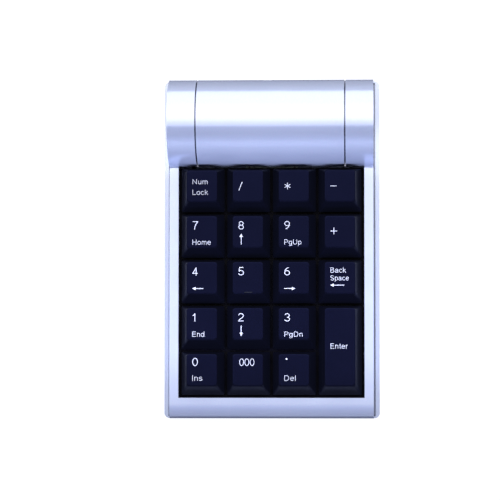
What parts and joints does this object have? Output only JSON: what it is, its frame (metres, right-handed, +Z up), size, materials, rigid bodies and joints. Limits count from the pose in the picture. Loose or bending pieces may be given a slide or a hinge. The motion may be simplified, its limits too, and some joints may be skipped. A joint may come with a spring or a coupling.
{
  "type": "numeric keypad",
  "caption": "Cordless numeric keypad: dished black keys in a slim silver case with a half-round battery barrel across the rear.",
  "frame": {"origin": "middle of the footprint, on the plane of the feet", "axes": "+Z up, +Y towards the battery barrel at the rear, +X to the user's right"},
  "size_m": [0.09, 0.141, 0.03],
  "materials": {
    "case_silver": "silver paint with a fine metallic fleck, satin",
    "keycap_black": "fine spark-eroded texture, white printed legends",
    "legend_white": "printed ink on the keycaps",
    "mechanism_black": "satin moulded",
    "dome_rubber": "matt silicone",
    "switch_film": "clear polyester with printed tracks",
    "plate_steel": "zinc plated sheet",
    "spring_wire": "bright drawn wire",
    "board_green": "solder resist",
    "chip_black": "moulded epoxy",
    "component_can": "drawn can",
    "cell_wrap": "shrunk film wrap over steel can",
    "contact_nickel": "nickel plated",
    "switch_black": "satin moulded",
    "foot_rubber": "matt rubber",
    "screw_steel": "black zinc"
  },
  "bodies": {
    "case": {"bottom_case": "case_silver", "top_case": "case_silver", "guide_plate": "mechanism_black", "dome_sheet": "dome_rubber", "membrane_top": "switch_film", "membrane_spacer": "switch_film", "membrane_bottom": "switch_film", "backing_plate": "plate_steel", "controller_board": "board_green", "control_chip": "chip_black", "crystal": "component_can", "capacitors": "component_can", "clamp_bar": "mechanism_black", "clamp_pad": "dome_rubber", "battery_front": "cell_wrap", "battery_rear": "cell_wrap", "link_contact": "contact_nickel", "negative_contact": "contact_nickel", "positive_contact": "contact_nickel", "power_switch_body": "switch_black", "connect_switch": "switch_black", "case_screws": "screw_steel", "module_screws": "screw_steel", "board_screws": "screw_steel", "clamp_screws": "screw_steel", "foot_front_left": "foot_rubber", "foot_front_right": "foot_rubber", "foot_rear_left": "foot_rubber", "foot_rear_right": "foot_rubber"},
    "door": {"battery_door": "case_silver"},
    "enter_stabiliser": {"enter_stabiliser": "spring_wire"},
    "power_switch_knob": {"power_switch_knob": "switch_black"},
    "connect_button": {"connect_button": "switch_black"},
    "key_num_lock": {"key_num_lock": "keycap_black"},
    "key_divide": {"key_divide": "keycap_black"},
    "key_multiply": {"key_multiply": "keycap_black"},
    "key_minus": {"key_minus": "keycap_black"},
    "key_7": {"key_7": "keycap_black"},
    "key_8": {"key_8": "keycap_black"},
    "key_9": {"key_9": "keycap_black"},
    "key_plus": {"key_plus": "keycap_black"},
    "key_4": {"key_4": "keycap_black"},
    "key_5": {"key_5": "keycap_black"},
    "key_6": {"key_6": "keycap_black"},
    "key_backspace": {"key_backspace": "keycap_black"},
    "key_1": {"key_1": "keycap_black"},
    "key_2": {"key_2": "keycap_black"},
    "key_3": {"key_3": "keycap_black"},
    "key_enter": {"key_enter": "keycap_black"},
    "key_0": {"key_0": "keycap_black"},
    "key_000": {"key_000": "keycap_black"},
    "key_decimal": {"key_decimal": "keycap_black"}
  },
  "joints": [
    {"name": "door_lift", "type": "slide", "parent": "case", "child": "door", "axis": [0, 0, 1], "range_m": [0, 0.04]},
    {"name": "power_switch_slide", "type": "slide", "parent": "case", "child": "power_switch_knob", "axis": [1, 0, 0], "range_m": [0, 0.0025]},
    {"name": "connect_button_press", "type": "slide", "parent": "case", "child": "connect_button", "axis": [0, 0, 1], "range_m": [0, 0.00035], "stiffness_N_per_m": 60, "springref_m": -0.0002},
    {"name": "key_num_lock_press", "type": "slide", "parent": "case", "child": "key_num_lock", "axis": [0, 0, -1], "range_m": [0, 0.003], "stiffness_N_per_m": 120, "springref_m": -0.001, "deforming": ["dome_sheet"]},
    {"name": "key_divide_press", "type": "slide", "parent": "case", "child": "key_divide", "axis": [0, 0, -1], "range_m": [0, 0.003], "stiffness_N_per_m": 120, "springref_m": -0.001, "deforming": ["dome_sheet"]},
    {"name": "key_multiply_press", "type": "slide", "parent": "case", "child": "key_multiply", "axis": [0, 0, -1], "range_m": [0, 0.003], "stiffness_N_per_m": 120, "springref_m": -0.001, "deforming": ["dome_sheet"]},
    {"name": "key_minus_press", "type": "slide", "parent": "case", "child": "key_minus", "axis": [0, 0, -1], "range_m": [0, 0.003], "stiffness_N_per_m": 120, "springref_m": -0.001, "deforming": ["dome_sheet"]},
    {"name": "key_7_press", "type": "slide", "parent": "case", "child": "key_7", "axis": [0, 0, -1], "range_m": [0, 0.003], "stiffness_N_per_m": 120, "springref_m": -0.001, "deforming": ["dome_sheet"]},
    {"name": "key_8_press", "type": "slide", "parent": "case", "child": "key_8", "axis": [0, 0, -1], "range_m": [0, 0.003], "stiffness_N_per_m": 120, "springref_m": -0.001, "deforming": ["dome_sheet"]},
    {"name": "key_9_press", "type": "slide", "parent": "case", "child": "key_9", "axis": [0, 0, -1], "range_m": [0, 0.003], "stiffness_N_per_m": 120, "springref_m": -0.001, "deforming": ["dome_sheet"]},
    {"name": "key_plus_press", "type": "slide", "parent": "case", "child": "key_plus", "axis": [0, 0, -1], "range_m": [0, 0.003], "stiffness_N_per_m": 120, "springref_m": -0.001, "deforming": ["dome_sheet"]},
    {"name": "key_4_press", "type": "slide", "parent": "case", "child": "key_4", "axis": [0, 0, -1], "range_m": [0, 0.003], "stiffness_N_per_m": 120, "springref_m": -0.001, "deforming": ["dome_sheet"]},
    {"name": "key_5_press", "type": "slide", "parent": "case", "child": "key_5", "axis": [0, 0, -1], "range_m": [0, 0.003], "stiffness_N_per_m": 120, "springref_m": -0.001, "deforming": ["dome_sheet"]},
    {"name": "key_6_press", "type": "slide", "parent": "case", "child": "key_6", "axis": [0, 0, -1], "range_m": [0, 0.003], "stiffness_N_per_m": 120, "springref_m": -0.001, "deforming": ["dome_sheet"]},
    {"name": "key_backspace_press", "type": "slide", "parent": "case", "child": "key_backspace", "axis": [0, 0, -1], "range_m": [0, 0.003], "stiffness_N_per_m": 120, "springref_m": -0.001, "deforming": ["dome_sheet"]},
    {"name": "key_1_press", "type": "slide", "parent": "case", "child": "key_1", "axis": [0, 0, -1], "range_m": [0, 0.003], "stiffness_N_per_m": 120, "springref_m": -0.001, "deforming": ["dome_sheet"]},
    {"name": "key_2_press", "type": "slide", "parent": "case", "child": "key_2", "axis": [0, 0, -1], "range_m": [0, 0.003], "stiffness_N_per_m": 120, "springref_m": -0.001, "deforming": ["dome_sheet"]},
    {"name": "key_3_press", "type": "slide", "parent": "case", "child": "key_3", "axis": [0, 0, -1], "range_m": [0, 0.003], "stiffness_N_per_m": 120, "springref_m": -0.001, "deforming": ["dome_sheet"]},
    {"name": "key_enter_press", "type": "slide", "parent": "case", "child": "key_enter", "axis": [0, 0, -1], "range_m": [0, 0.003], "stiffness_N_per_m": 150, "springref_m": -0.001, "deforming": ["dome_sheet"]},
    {"name": "key_0_press", "type": "slide", "parent": "case", "child": "key_0", "axis": [0, 0, -1], "range_m": [0, 0.003], "stiffness_N_per_m": 120, "springref_m": -0.001, "deforming": ["dome_sheet"]},
    {"name": "key_000_press", "type": "slide", "parent": "case", "child": "key_000", "axis": [0, 0, -1], "range_m": [0, 0.003], "stiffness_N_per_m": 120, "springref_m": -0.001, "deforming": ["dome_sheet"]},
    {"name": "key_decimal_press", "type": "slide", "parent": "case", "child": "key_decimal", "axis": [0, 0, -1], "range_m": [0, 0.003], "stiffness_N_per_m": 120, "springref_m": -0.001, "deforming": ["dome_sheet"]},
    {"name": "enter_wire_turn", "type": "hinge", "parent": "case", "child": "enter_stabiliser", "pos_m": [0.02661, -0.0423, 0.0092], "axis": [0, 1, 0], "range_deg": [0, 19.3]}
  ],
  "couplings": [
    {"joint": "enter_wire_turn", "follows": "key_enter_press", "rad_per_m": 111.63}
  ]
}
